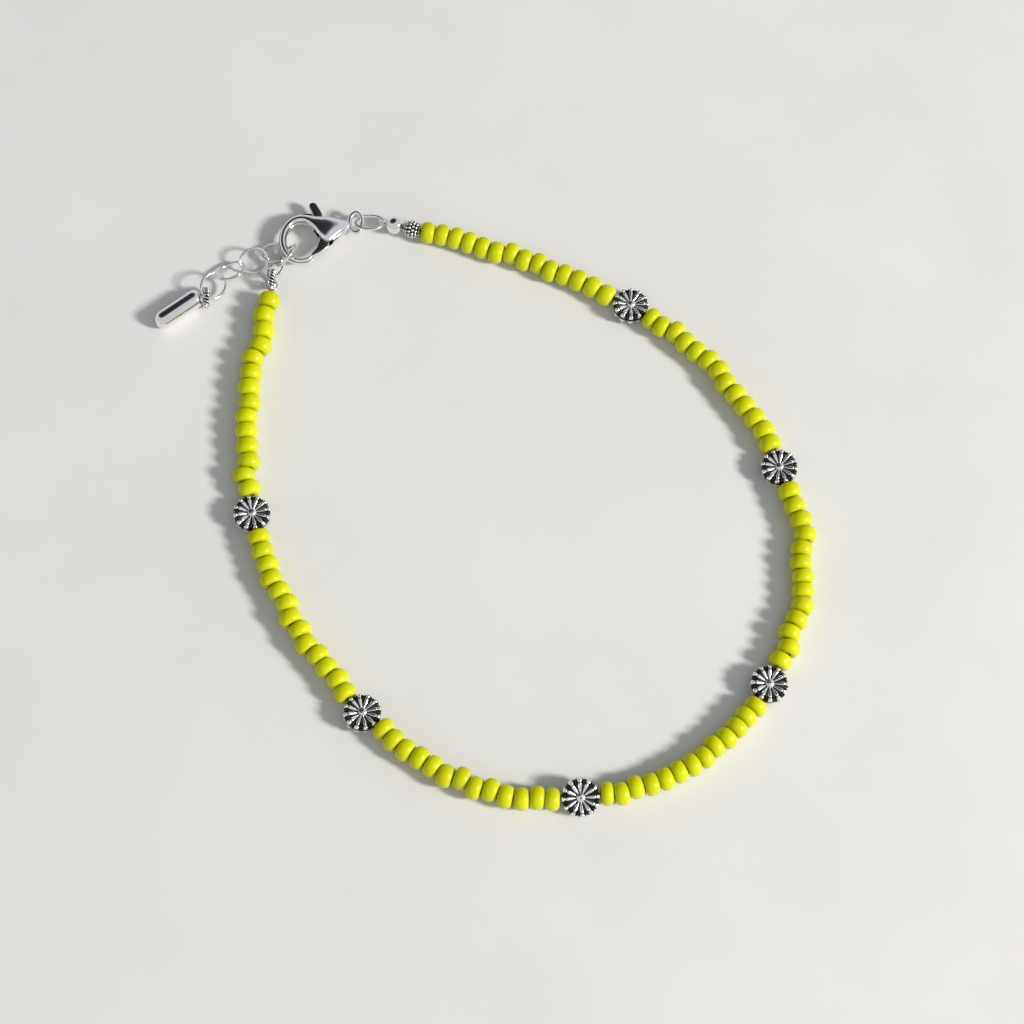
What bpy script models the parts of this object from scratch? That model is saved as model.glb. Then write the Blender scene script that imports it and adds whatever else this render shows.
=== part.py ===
"""A beaded anklet lying on a flat surface: seven runs of glass seed beads with six cast daisies
between them, a lobster clasp hooked into a jump ring, a short extender chain and a capsule drop.

Metres, +Z up. The strand lies in a plane parallel to the surface, which is z = 0.
"""

import math

import bmesh
import bpy
import numpy as np
from mathutils import Matrix, Vector

MM = 0.001

# Seed beads. A run is fused into one body of beads on their thread.
BEAD_DIAMETER = 3.0 * MM
BEAD_SIDES = 10
BEAD_COUNTS = (14, 13, 13, 13, 13, 13, 14)
THREAD_DIAMETER = 0.4 * MM
BORE_CLEARANCE = 0.25 * MM
PIECE_GAP = 0.1 * MM

# Daisies: flat round cast beads with a flower on both faces.
DAISY_DIAMETER = 4.8 * MM
DAISY_DOT_DIAMETER = 1.3 * MM
DAISY_THICKNESS = 1.9 * MM
DAISY_RIM_THICKNESS = 1.6 * MM
DAISY_RELIEF = 0.3 * MM
DAISY_CREST_DROP = 0.08 * MM
DAISY_NOTCH = 0.2 * MM
# Where a daisy's face ends and its rim begins, as a share of its radius.
DAISY_SHOULDER = 0.93
DAISY_PETALS = 12
# How far each daisy has rolled about the thread, in degrees.
DAISY_ROLLS = (-6.0, 4.0, 6.0, 24.0, 5.0, 5.0)
# A rolled daisy rides up on the thread until its rim is this far above the surface.
SURFACE_GAP = 0.02 * MM

# Clasp: its body is lofted across the section table below.
CLASP_LENGTH = 9.6 * MM
CLASP_WIDTH = 7.3 * MM
CLASP_THICKNESS = 2.35 * MM
CLASP_HEIGHT = 1.6 * MM
CLASP_HEADING = 201.5
LEVER_THICKNESS = 0.85 * MM
LEVER_SIDE_GAP = 0.1 * MM
PIN_DIAMETER = 0.56 * MM
PIN_CLEARANCE = 0.08 * MM
TAIL_RING_LENGTH = 3.4 * MM
TAIL_RING_WIDTH = 2.3 * MM
TAIL_RING_WIRE = 0.6 * MM

# Rings and links.
RING_SEGMENTS = 16
WIRE_SIDES = 6
LINK_LENGTH = 4.2 * MM
LINK_WIDTH = 3.5 * MM
LINK_WIRE = 0.36 * MM
CLASP_RING_LENGTH = 4.2 * MM
CLASP_RING_WIDTH = 3.15 * MM
CLASP_RING_WIRE = 0.4 * MM
BIG_RING_DIAMETER = 3.9 * MM
BIG_RING_WIRE = 0.46 * MM
ROPE_RING_DIAMETER = 2.85 * MM
ROPE_RING_WIRE = 0.8 * MM
CONNECTOR_LENGTH = 3.0 * MM
CONNECTOR_WIDTH = 1.7 * MM
CONNECTOR_WIRE = 0.3 * MM
END_LOOP_DIAMETER = 1.75 * MM
END_LOOP_WIRE = 0.3 * MM

# Metal beads and the drop.
TIP_DIAMETER = 2.4 * MM
TIP_LOOP_DIAMETER = 1.4 * MM
TIP_LOOP_WIRE = 0.34 * MM
GRANULATED_DIAMETER = 2.5 * MM
GRANULATED_LENGTH = 2.3 * MM
DROP_DIAMETER = 2.5 * MM
DROP_LENGTH = 6.8 * MM
DROP_EYE_DIAMETER = 1.75 * MM
DROP_EYE_WIRE = 0.32 * MM
ROUND_SIDES = 14

# Plan point of the route, in millimetres, that the model's origin stands under.
ORIGIN = (-4.133, 1.914)

# The strand's route, in millimetres: points chosen along the line of the beads, seen from above.
# It begins where the closure leaves it. A point marked daisy is a daisy's centre, and the last is
# the outer face of the last bead.
ROUTE = (
    (-9.4, 40.15, "bead"),
    (-5.7, 38.9, "bead"),
    (-1.1, 37.45, "bead"),
    (3.6, 35.6, "bead"),
    (7.9, 33.6, "bead"),
    (12.6, 31.0, "bead"),
    (15.8, 29.3, "daisy"),
    (19.2, 27.0, "bead"),
    (22.9, 23.9, "bead"),
    (26.6, 20.4, "bead"),
    (29.3, 16.3, "bead"),
    (32.2, 11.7, "bead"),
    (34.6, 5.6, "daisy"),
    (36.2, 0.9, "bead"),
    (37.4, -3.2, "bead"),
    (36.9, -7.6, "bead"),
    (37.0, -12.0, "bead"),
    (35.3, -16.6, "bead"),
    (34.2, -20.2, "bead"),
    (32.1, -24.1, "daisy"),
    (29.4, -28.0, "bead"),
    (25.7, -31.9, "bead"),
    (21.0, -35.3, "bead"),
    (15.9, -37.6, "bead"),
    (8.4, -38.8, "daisy"),
    (3.0, -39.0, "bead"),
    (-2.0, -38.2, "bead"),
    (-7.2, -36.3, "bead"),
    (-12.3, -33.3, "bead"),
    (-18.6, -27.9, "daisy"),
    (-22.3, -23.0, "bead"),
    (-26.3, -17.9, "bead"),
    (-29.0, -12.4, "bead"),
    (-31.3, -7.6, "bead"),
    (-33.4, -0.9, "daisy"),
    (-34.4, 4.6, "bead"),
    (-34.4, 9.6, "bead"),
    (-34.5, 14.0, "bead"),
    (-34.4, 19.0, "bead"),
    (-33.1, 24.6, "bead"),
    (-32.45, 31.15, "end"),
)
ROUTE_STEPS = 24

# Radius of a seed bead along its own length: share of half the length, share of the radius.
BEAD_PROFILE = ((-0.62, 0.9), (0.0, 1.0), (0.62, 0.9))
BEAD_NECK = 0.58

# Clasp body, one row for each section from the tail to the hook's tip: where it meets the outer
# edge and the inner edge, as shares of the length and the width, and its share of the thickness.
CLASP_SECTIONS = (
    # outer x, outer y, inner x, inner y, thickness
    (-0.020, -0.085, -0.020, 0.030, 0.34),
    (0.036, -0.150, 0.046, 0.080, 0.50),
    (0.125, -0.250, 0.150, 0.165, 0.76),
    (0.219, -0.345, 0.262, 0.250, 0.94),
    (0.312, -0.416, 0.365, 0.310, 1.00),
    (0.406, -0.470, 0.424, 0.205, 0.98),
    (0.479, -0.505, 0.450, 0.010, 0.92),
    (0.552, -0.530, 0.490, -0.175, 0.84),
    (0.638, -0.542, 0.552, -0.310, 0.75),
    (0.735, -0.518, 0.655, -0.366, 0.68),
    (0.830, -0.452, 0.757, -0.322, 0.64),
    (0.915, -0.342, 0.838, -0.232, 0.61),
    (0.982, -0.195, 0.889, -0.115, 0.60),
    (1.014, -0.035, 0.912, 0.000, 0.60),
    (1.014, 0.112, 0.916, 0.118, 0.60),
    (0.980, 0.258, 0.894, 0.226, 0.59),
    (0.910, 0.374, 0.842, 0.302, 0.57),
    (0.810, 0.446, 0.768, 0.349, 0.55),
    (0.715, 0.462, 0.706, 0.350, 0.53),
    (0.640, 0.428, 0.673, 0.333, 0.52),
)
CLASP_SECTION_SIDES = 12
# Where the lever's pin stands, as shares of the clasp's length and width.
PIVOT = (0.371, 0.075)
# The lever's outline and the slot that it swings in, as shares of the same two sizes.
LEVER_OUTLINE = (
    (0.345, -0.697), (0.376, -0.690), (0.396, -0.655), (0.400, -0.600), (0.396, -0.480),
    (0.398, -0.330), (0.408, -0.160), (0.428, 0.000), (0.466, 0.122), (0.536, 0.236),
    (0.656, 0.334), (0.627, 0.386), (0.520, 0.368), (0.430, 0.332), (0.372, 0.296),
    (0.330, 0.190), (0.304, 0.125), (0.296, 0.070), (0.306, -0.070), (0.292, -0.270),
    (0.272, -0.400), (0.292, -0.500), (0.313, -0.600), (0.319, -0.655),
)
SLOT_OUTLINE = (
    (0.050, -0.660), (0.430, -0.660), (0.420, -0.350), (0.438, -0.130), (0.562, -0.130),
    (0.562, 0.480), (0.350, 0.480), (0.290, 0.215), (0.262, 0.068), (0.076, -0.356),
)
TAIL_RING_CENTRE = (-0.118, -0.014)

# Where the hook's bow crosses the big ring's centre, as shares of the clasp's two sizes.
HOOK_BOW = (0.9774, 0.1797)
# Headings of the line from the tail ring through the clasp ring, and of the strand's start.
CLASP_RING_HEADING = 3.4
START_HEADING = -17.0

# Placed rings: plan centre and height in millimetres, then heading of the long axis, pitch of
# that axis and roll about it, in degrees.
BIG_RING_PLACE = (-30.35, 36.79, 1.73, 63.3, -1.8, 120.3)
CONNECTOR_PLACE = (-31.73, 34.72, 1.68, 51.7, 2.4, 20.7)
STRAND_ROPE_PLACE = (-32.07, 33.36, 1.5, 86.6, 3.2, 92.0)
END_LOOP_PLACE = (-32.1, 32.35, 1.5, 97.9, -7.5, 3.7)
DROP_ROPE_PLACE = (-40.8, 30.55, 1.45, 97.0, -1.0, 102.0)
# The extender's links, from the big ring to the drop.
LINK_PLACES = (
    (-31.83, 37.8, 0.75, 203.2, 13.6, 7.1),
    (-34.7, 36.35, 1.2, 206.0, 2.0, -33.0),
    (-37.65, 34.7, 1.35, 213.0, 1.0, 25.0),
    (-39.9, 32.25, 1.7, 236.0, 2.0, -28.0),
)
# The drop's eye, round the rope ring: centre, heading along the drop, and its own pitch and roll.
DROP_EYE_PLACE = (-41.05, 31.5, 1.2, 38.0, -6.0, -6.0)
# The jump ring between the clasp and the strand tips towards the viewer by this much.
CLASP_RING_ROLL = -25.0
TAIL_RING_TILT = 13.0

# Finishes: base colour, metallic, roughness.
FINISHES = {
    "lime_glass": ((0.66, 0.70, 0.01), 0.0, 0.22),
    "polished_silver": ((0.82, 0.82, 0.80), 1.0, 0.16),
    "antiqued_silver": ((0.42, 0.42, 0.41), 1.0, 0.38),
}


def clear_scene():
    for thing in list(bpy.data.objects):
        bpy.data.objects.remove(thing)


def finish(name):
    """The material of this name, made once."""
    known = bpy.data.materials.get(name)
    if known:
        return known
    colour, metallic, roughness = FINISHES[name]
    material = bpy.data.materials.new(name)
    material.use_nodes = True
    shader = material.node_tree.nodes["Principled BSDF"]
    shader.inputs["Base Color"].default_value = (*colour, 1.0)
    shader.inputs["Metallic"].default_value = metallic
    shader.inputs["Roughness"].default_value = roughness
    return material


def plan_point(x, y, z=0.0):
    """A plan point in millimetres, and a height in metres, in the model's own frame."""
    return Vector(((x - ORIGIN[0]) * MM, (y - ORIGIN[1]) * MM, z))


def heading_vector(degrees):
    return Vector((math.cos(math.radians(degrees)), math.sin(math.radians(degrees)), 0))


def clasp_point(shares):
    """A point in the clasp's own frame, from shares of its length and width."""
    return Vector((CLASP_LENGTH * shares[0], CLASP_WIDTH * shares[1], 0))


def clasp_neck():
    """The clasp's own origin, from which its hook reaches round the big ring's wire."""
    bow = plan_point(BIG_RING_PLACE[0], BIG_RING_PLACE[1], CLASP_HEIGHT)
    return bow - Matrix.Rotation(math.radians(CLASP_HEADING), 3, "Z") @ clasp_point(HOOK_BOW)


def tail_ring_place():
    turn = Matrix.Rotation(math.radians(CLASP_HEADING), 3, "Z")
    return clasp_neck() + turn @ clasp_point(TAIL_RING_CENTRE)


def strand_start():
    """Where the first bead begins: the clasp ring, the tip and the granulated bead lead to it."""
    tip_loop = tail_ring_place() + heading_vector(CLASP_RING_HEADING) * (CLASP_RING_LENGTH - CLASP_RING_WIRE)
    reach = TIP_LOOP_DIAMETER / 2 - TIP_LOOP_WIRE + TIP_DIAMETER + GRANULATED_LENGTH + 2 * PIECE_GAP
    start = tip_loop + heading_vector(START_HEADING) * reach
    start.z = BEAD_DIAMETER / 2
    return start


def add_object(name, mesh, material, parent=None):
    thing = bpy.data.objects.new(name, mesh)
    bpy.context.scene.collection.objects.link(thing)
    thing.data.materials.append(finish(material))
    thing.parent = parent
    return thing


def add_empty(name, place):
    empty = bpy.data.objects.new(name, None)
    bpy.context.scene.collection.objects.link(empty)
    empty.location = place
    return empty


def helper(thing):
    """Marks a cutter or a piece that another object takes in."""
    thing.hide_render = True
    thing.display_type = "WIRE"
    return thing


def boolean(thing, other, operation):
    step = thing.modifiers.new(operation.lower() + "_" + other.name, "BOOLEAN")
    step.operation = operation
    step.solver = "EXACT"
    step.object = helper(other)


def mesh_of_loops(name, loops, closed=False, smooth_angle=40.0):
    """Skins a row of point loops, each with the same number of points, into one closed mesh."""
    work = bmesh.new()
    rows = [[work.verts.new(point) for point in loop] for loop in loops]
    count = len(rows[0])
    pairs = list(zip(rows, rows[1:]))
    if closed:
        pairs.append((rows[-1], rows[0]))
    for first, second in pairs:
        for i in range(count):
            j = (i + 1) % count
            work.faces.new((first[i], first[j], second[j], second[i]))
    if not closed:
        work.faces.new(list(reversed(rows[0])))
        work.faces.new(rows[-1])
    return finished_mesh(name, work, smooth_angle)


def finished_mesh(name, work, smooth_angle=40.0):
    bmesh.ops.recalc_face_normals(work, faces=work.faces)
    if work.calc_volume(signed=True) < 0:
        bmesh.ops.reverse_faces(work, faces=work.faces)
    mesh = bpy.data.meshes.new(name)
    work.to_mesh(mesh)
    work.free()
    mesh.shade_smooth()
    mesh.set_sharp_from_angle(angle=math.radians(smooth_angle))
    return mesh


def circle(radius, sides, start=0.0):
    """Points of a circle in the plane of its first two axes."""
    steps = [start + 2 * math.pi * i / sides for i in range(sides)]
    return [(radius * math.cos(a), radius * math.sin(a)) for a in steps]


def lathe(name, profile, sides):
    """Turns (distance along, radius) rows about the X axis."""
    loops = []
    for along, radius in profile:
        loops.append([(along, c, s) for c, s in circle(radius, sides)])
    return mesh_of_loops(name, loops)


def oval_ring(name, length, width, wire, segments=RING_SEGMENTS, sides=WIRE_SIDES):
    """A wire bent into an oval in its local XY plane, long axis on X. Sizes are outside sizes."""
    long_radius = (length - wire) / 2
    short_radius = (width - wire) / 2
    loops = []
    for i in range(segments):
        angle = 2 * math.pi * i / segments
        centre = Vector((long_radius * math.cos(angle), short_radius * math.sin(angle), 0))
        outward = Vector((short_radius * math.cos(angle), long_radius * math.sin(angle), 0))
        outward.normalize()
        loops.append([centre + outward * c + Vector((0, 0, s)) for c, s in circle(wire / 2, sides)])
    return mesh_of_loops(name, loops, closed=True, smooth_angle=70.0)


def put(thing, place):
    """Places a ring: its plan centre and height, heading, pitch and roll."""
    x, y, z, heading, pitch, roll = place
    thing.location = plan_point(x, y, z * MM)
    thing.rotation_euler = (math.radians(roll), math.radians(-pitch), math.radians(heading))
    return thing


def add_ring(name, length, width, wire, place, material="polished_silver"):
    return put(add_object(name, oval_ring(name, length, width, wire), material), place)


class Route:
    """The smooth curve through the route's points, measured along its length."""

    def __init__(self, start):
        points = [start] + [plan_point(x, y, start.z) for x, y, _ in ROUTE]
        slopes = self.slopes(points)
        slopes[0] = heading_vector(START_HEADING)
        line = [points[0]]
        self.marks = [0]
        for i in range(len(points) - 1):
            line += self.span(points[i], points[i + 1], slopes[i], slopes[i + 1])
            self.marks.append(len(line) - 1)
        self.line = np.array([tuple(point) for point in line])
        steps = np.linalg.norm(np.diff(self.line, axis=0), axis=1)
        self.lengths = np.concatenate([[0.0], np.cumsum(steps)])
        self.total = float(self.lengths[-1])

    @staticmethod
    def slopes(points):
        """The curve's direction at each point, from its neighbours weighted by nearness."""
        slopes = []
        for i, point in enumerate(points):
            before = points[max(i - 1, 0)]
            after = points[min(i + 1, len(points) - 1)]
            near = (point - before).length
            far = (after - point).length
            if near == 0 or far == 0:
                slopes.append((after - before).normalized())
                continue
            slope = (point - before) / near * far + (after - point) / far * near
            slopes.append(slope / (near + far))
        return slopes

    @staticmethod
    def span(start, end, start_slope, end_slope):
        """Points of the Hermite curve from start to end, leaving out start."""
        reach = (end - start).length
        found = []
        for step in range(1, ROUTE_STEPS + 1):
            t = step / ROUTE_STEPS
            found.append(
                start * (2 * t**3 - 3 * t**2 + 1)
                + start_slope * reach * (t**3 - 2 * t**2 + t)
                + end * (3 * t**2 - 2 * t**3)
                + end_slope * reach * (t**3 - t**2)
            )
        return found

    def at(self, length):
        """Position and direction at a length along the route, straight on past its ends."""
        inside = min(max(length, 0.0), self.total)
        place = Vector([float(np.interp(inside, self.lengths, self.line[:, k])) for k in range(3)])
        step = 0.2 * MM
        low, high = max(inside - step, 0.0), min(inside + step, self.total)
        ends = []
        for edge in (low, high):
            ends.append(Vector([float(np.interp(edge, self.lengths, self.line[:, k])) for k in range(3)]))
        direction = (ends[1] - ends[0]).normalized()
        return place + direction * (length - inside), direction

    def daisies(self):
        """Lengths along the route at which the daisies' centres lie."""
        marked = zip(ROUTE, self.marks[1:])
        return [float(self.lengths[index]) for (_, _, mark), index in marked if mark == "daisy"]


def loop_on_route(route, length, radius):
    """A ring of points round the route, its lowest point straight below the line."""
    centre, direction = route.at(length)
    across = Vector((-direction.y, direction.x, 0)).normalized()
    up = Vector((0, 0, 1))
    points = circle(radius, BEAD_SIDES, -math.pi / 2)
    return [centre + across * c + up * s for c, s in points]


def build_bead_run(route, number, start, end, thread_start, thread_end):
    """One run: its beads from start to end, on thread that reaches out at both ends."""
    count = BEAD_COUNTS[number - 1]
    pitch = (end - start) / count
    radius = BEAD_DIAMETER / 2
    thread = THREAD_DIAMETER / 2
    loops = [
        loop_on_route(route, thread_start, thread),
        loop_on_route(route, start, thread),
        loop_on_route(route, start, radius * BEAD_NECK),
    ]
    for bead in range(count):
        middle = start + pitch * (bead + 0.5)
        for along, share in BEAD_PROFILE:
            loops.append(loop_on_route(route, middle + along * pitch / 2, radius * share))
        loops.append(loop_on_route(route, middle + pitch / 2, radius * BEAD_NECK))
    loops.append(loop_on_route(route, end, thread))
    loops.append(loop_on_route(route, thread_end, thread))
    name = f"bead_run_{number}"
    add_object(name, mesh_of_loops(name, loops), "lime_glass")


def build_bead_runs(route):
    centres = route.daisies()
    reach = DAISY_DIAMETER / 2 + PIECE_GAP
    starts = [0.0] + [centre + reach for centre in centres]
    ends = [centre - reach for centre in centres] + [route.total]
    # Inside a daisy the threads of its two runs stop just short of each other.
    first_thread = -(PIECE_GAP * 2 + GRANULATED_LENGTH + TIP_DIAMETER / 4)
    thread_starts = [first_thread] + [centre + PIECE_GAP for centre in centres]
    thread_ends = [centre - PIECE_GAP for centre in centres] + [route.total + PIECE_GAP]
    for i in range(len(BEAD_COUNTS)):
        build_bead_run(route, i + 1, starts[i], ends[i], thread_starts[i], thread_ends[i])


def daisy_mesh():
    """A flower on both faces of a flat round bead: dot, recess, petals and scalloped rim."""
    columns = 2 * DAISY_PETALS
    radius = DAISY_DIAMETER / 2
    dot = DAISY_DOT_DIAMETER / 2
    top = DAISY_THICKNESS / 2
    crest = top - DAISY_CREST_DROP
    rim = DAISY_RIM_THICKNESS / 2
    # Radius, height at a petal's crest, drop at the groove beside it, inset at the groove.
    rings = (
        (dot * 0.8, top, 0.0, 0.0),
        (dot * 1.2, crest - DAISY_RELIEF, DAISY_RELIEF * 0.2, 0.0),
        (radius * 0.72, crest, DAISY_RELIEF * 1.2, 0.0),
        (radius * DAISY_SHOULDER, rim, DAISY_RELIEF, DAISY_NOTCH * 0.5),
        (radius, rim * 0.6, 0.0, DAISY_NOTCH),
    )
    work = bmesh.new()
    rows = []
    for side in (1, -1):
        for ring_radius, height, drop, inset in rings[::side]:
            row = []
            for column in range(columns):
                groove = column % 2
                angle = math.pi * column / DAISY_PETALS
                reach = ring_radius - groove * inset
                lift = side * (height - groove * drop)
                row.append(work.verts.new((reach * math.cos(angle), reach * math.sin(angle), lift)))
            rows.append(row)
    for first, second in zip(rows, rows[1:]):
        for i in range(columns):
            j = (i + 1) % columns
            work.faces.new((first[i], first[j], second[j], second[i]))
    for row in (rows[0], rows[-1]):
        work.faces.new(row)
    return finished_mesh("daisy", work, 30.0)


def build_daisies(route):
    bore = THREAD_DIAMETER / 2 + BORE_CLEARANCE
    reach = DAISY_DIAMETER
    for i, centre in enumerate(route.daisies()):
        name = f"daisy_{i + 1}"
        place, direction = route.at(centre)
        roll = math.radians(DAISY_ROLLS[i])
        turn = (roll, 0, math.atan2(direction.y, direction.x))
        shoulder = DAISY_DIAMETER / 2 * DAISY_SHOULDER
        rim_drop = shoulder * abs(math.sin(roll)) + DAISY_RIM_THICKNESS / 2 * math.cos(roll)
        place.z = max(place.z, rim_drop + SURFACE_GAP)
        daisy = add_object(name, daisy_mesh(), "antiqued_silver")
        drill = add_object(name + "_bore", lathe("bore", ((-reach, bore), (reach, bore)), 8), "antiqued_silver")
        for thing in (daisy, drill):
            thing.location = place
            thing.rotation_euler = turn
        boolean(daisy, drill, "DIFFERENCE")


def clasp_body_mesh():
    """Rounded sections lofted from the tail, through the widest part, round to the hook's tip."""
    loops = []
    for outer_x, outer_y, inner_x, inner_y, share in CLASP_SECTIONS:
        outer = clasp_point((outer_x, outer_y))
        inner = clasp_point((inner_x, inner_y))
        middle = (outer + inner) / 2
        half = (outer - inner) / 2
        loop = []
        for c, s in circle(1.0, CLASP_SECTION_SIDES):
            across = math.copysign(abs(c) ** 0.8, c)
            point = middle + half * across
            loop.append((point.x, point.y, s * CLASP_THICKNESS * share / 2))
        loops.append(loop)
    return mesh_of_loops("clasp_body", loops, smooth_angle=50.0)


def prism(name, outline, thickness):
    """A flat plate of this outline, given in shares of the clasp's sizes, centred on its plane."""
    loops = []
    for z in (-thickness / 2, thickness / 2):
        loops.append([clasp_point(shares) + Vector((0, 0, z)) for shares in outline])
    return mesh_of_loops(name, loops, smooth_angle=25.0)


def build_clasp():
    clasp = add_empty("clasp", clasp_neck())
    clasp.rotation_euler = (0, 0, math.radians(CLASP_HEADING))

    body = add_object("clasp_body", clasp_body_mesh(), "polished_silver", clasp)
    slot_height = LEVER_THICKNESS + 2 * LEVER_SIDE_GAP
    slot = add_object("clasp_slot", prism("clasp_slot", SLOT_OUTLINE, slot_height), "polished_silver", clasp)
    pin_reach = (slot_height + CLASP_THICKNESS) / 4
    pin_profile = ((-pin_reach, PIN_DIAMETER / 2), (pin_reach, PIN_DIAMETER / 2))
    pin = add_object("clasp_pin", lathe("clasp_pin", pin_profile, ROUND_SIDES), "polished_silver", clasp)
    pivot = clasp_point(PIVOT)
    pin.location = pivot
    pin.rotation_euler = (0, math.pi / 2, 0)
    tail_mesh = oval_ring("tail_ring", TAIL_RING_LENGTH, TAIL_RING_WIDTH, TAIL_RING_WIRE)
    tail = add_object("tail_ring", tail_mesh, "polished_silver", clasp)
    tail.location = clasp_point(TAIL_RING_CENTRE)
    # The tail ring lies across the clasp, its long axis along the model's own Y.
    tail.rotation_euler = (0, -math.radians(TAIL_RING_TILT), math.radians(90 - CLASP_HEADING))
    boolean(body, slot, "DIFFERENCE")
    boolean(body, pin, "UNION")
    boolean(body, tail, "UNION")

    # The lever's origin is on its pin's axis.
    lever_mesh = prism("clasp_lever", LEVER_OUTLINE, LEVER_THICKNESS)
    lever_mesh.transform(Matrix.Translation(-pivot))
    lever = add_object("clasp_lever", lever_mesh, "polished_silver", clasp)
    lever.location = pivot
    hole_radius = PIN_DIAMETER / 2 + PIN_CLEARANCE
    hole_profile = ((-CLASP_THICKNESS, hole_radius), (CLASP_THICKNESS, hole_radius))
    hole = add_object("lever_hole", lathe("lever_hole", hole_profile, ROUND_SIDES), "polished_silver", clasp)
    hole.location = lever.location
    hole.rotation_euler = (0, math.pi / 2, 0)
    boolean(lever, hole, "DIFFERENCE")


def ball_profile(diameter, length, steps):
    """Half circle stretched to a length, as (distance along, radius) rows without its two poles."""
    rows = []
    for i in range(1, steps):
        angle = math.pi * i / steps
        rows.append((-length / 2 * math.cos(angle), diameter / 2 * math.sin(angle)))
    return rows


def build_strand_start(route):
    """The granulated bead and the round bead tip, threaded before the first run."""
    bore = THREAD_DIAMETER / 2 + BORE_CLEARANCE
    place, direction = route.at(-(PIECE_GAP + GRANULATED_LENGTH / 2))
    turn = (0, 0, math.atan2(direction.y, direction.x))
    profile = ball_profile(GRANULATED_DIAMETER, GRANULATED_LENGTH, 7)
    bead = add_object("granulated_bead", lathe("granulated_bead", profile, ROUND_SIDES), "antiqued_silver")
    drill_profile = ((-GRANULATED_LENGTH, bore), (GRANULATED_LENGTH, bore))
    drill = add_object("granulated_bore", lathe("granulated_bore", drill_profile, 8), "antiqued_silver")
    for thing in (bead, drill):
        thing.location = place
        thing.rotation_euler = turn
    boolean(bead, drill, "DIFFERENCE")

    centre = -(2 * PIECE_GAP + GRANULATED_LENGTH + TIP_DIAMETER / 2)
    place, direction = route.at(centre)
    profile = ball_profile(TIP_DIAMETER, TIP_DIAMETER, 7)
    tip = add_object("bead_tip", lathe("bead_tip", profile, ROUND_SIDES), "polished_silver")
    drill_profile = ((0.0, bore), (TIP_DIAMETER, bore))
    drill = add_object("bead_tip_bore", lathe("bead_tip_bore", drill_profile, 8), "polished_silver")
    for thing in (tip, drill):
        thing.location = place
        thing.rotation_euler = turn
    loop_mesh = oval_ring("bead_tip_loop", TIP_LOOP_DIAMETER, TIP_LOOP_DIAMETER, TIP_LOOP_WIRE)
    loop = add_object("bead_tip_loop", loop_mesh, "polished_silver")
    reach = TIP_DIAMETER / 2 + TIP_LOOP_DIAMETER / 2 - TIP_LOOP_WIRE
    loop.location = place - direction * reach
    loop.rotation_euler = (math.pi / 2, 0, turn[2])
    boolean(tip, drill, "DIFFERENCE")
    boolean(tip, loop, "UNION")
    return loop.location


def build_clasp_ring(loop_place, tail_place):
    """The jump ring that hangs on the bead tip's loop and reaches into the clasp's tail ring."""
    mesh = oval_ring("clasp_ring", CLASP_RING_LENGTH, CLASP_RING_WIDTH, CLASP_RING_WIRE)
    ring = add_object("clasp_ring", mesh, "polished_silver")
    span = loop_place - tail_place
    ring.location = loop_place - span.normalized() * (CLASP_RING_LENGTH - CLASP_RING_WIRE) / 2
    heading = math.atan2(span.y, span.x)
    pitch = math.asin(span.z / span.length)
    ring.rotation_euler = (math.radians(CLASP_RING_ROLL), -pitch, heading)


def build_rings():
    add_ring("big_ring", BIG_RING_DIAMETER, BIG_RING_DIAMETER, BIG_RING_WIRE, BIG_RING_PLACE)
    add_ring("connector_link", CONNECTOR_LENGTH, CONNECTOR_WIDTH, CONNECTOR_WIRE, CONNECTOR_PLACE)
    for name, place in (("strand_rope_ring", STRAND_ROPE_PLACE), ("drop_rope_ring", DROP_ROPE_PLACE)):
        size = ROPE_RING_DIAMETER
        add_ring(name, size, size, ROPE_RING_WIRE, place, "antiqued_silver")
    add_ring("end_loop", END_LOOP_DIAMETER, END_LOOP_DIAMETER, END_LOOP_WIRE, END_LOOP_PLACE)
    for i, place in enumerate(LINK_PLACES):
        add_ring(f"chain_link_{i + 1}", LINK_LENGTH, LINK_WIDTH, LINK_WIRE, place)


def build_drop():
    """A polished capsule lying on the surface, with the eye that hangs it on the rope ring."""
    radius = DROP_DIAMETER / 2
    straight = DROP_LENGTH / 2 - radius
    profile = []
    for degrees in (18, 42, 66, 90):
        angle = math.radians(degrees)
        profile.append((-straight - radius * math.cos(angle), radius * math.sin(angle)))
    profile += [(-along, size) for along, size in reversed(profile)]
    drop = add_object("capsule_drop", lathe("capsule_drop", profile, ROUND_SIDES), "polished_silver")
    eye_mesh = oval_ring("drop_eye", DROP_EYE_DIAMETER, DROP_EYE_DIAMETER, DROP_EYE_WIRE)
    eye = put(add_object("drop_eye", eye_mesh, "polished_silver"), DROP_EYE_PLACE)
    heading = eye.rotation_euler.z
    reach = DROP_LENGTH / 2 + DROP_EYE_DIAMETER / 2 - DROP_EYE_WIRE
    drop.location = eye.location - Vector((math.cos(heading), math.sin(heading), 0)) * reach
    drop.location.z = radius
    drop.rotation_euler = (0, 0, heading)
    boolean(drop, eye, "UNION")


def main():
    clear_scene()
    route = Route(strand_start())
    build_bead_runs(route)
    build_daisies(route)
    loop_place = build_strand_start(route)
    build_clasp()
    build_clasp_ring(loop_place, tail_ring_place())
    build_rings()
    build_drop()


main()
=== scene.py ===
import math

import bmesh
import bpy
import numpy as np
from mathutils import Matrix, Vector


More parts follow.
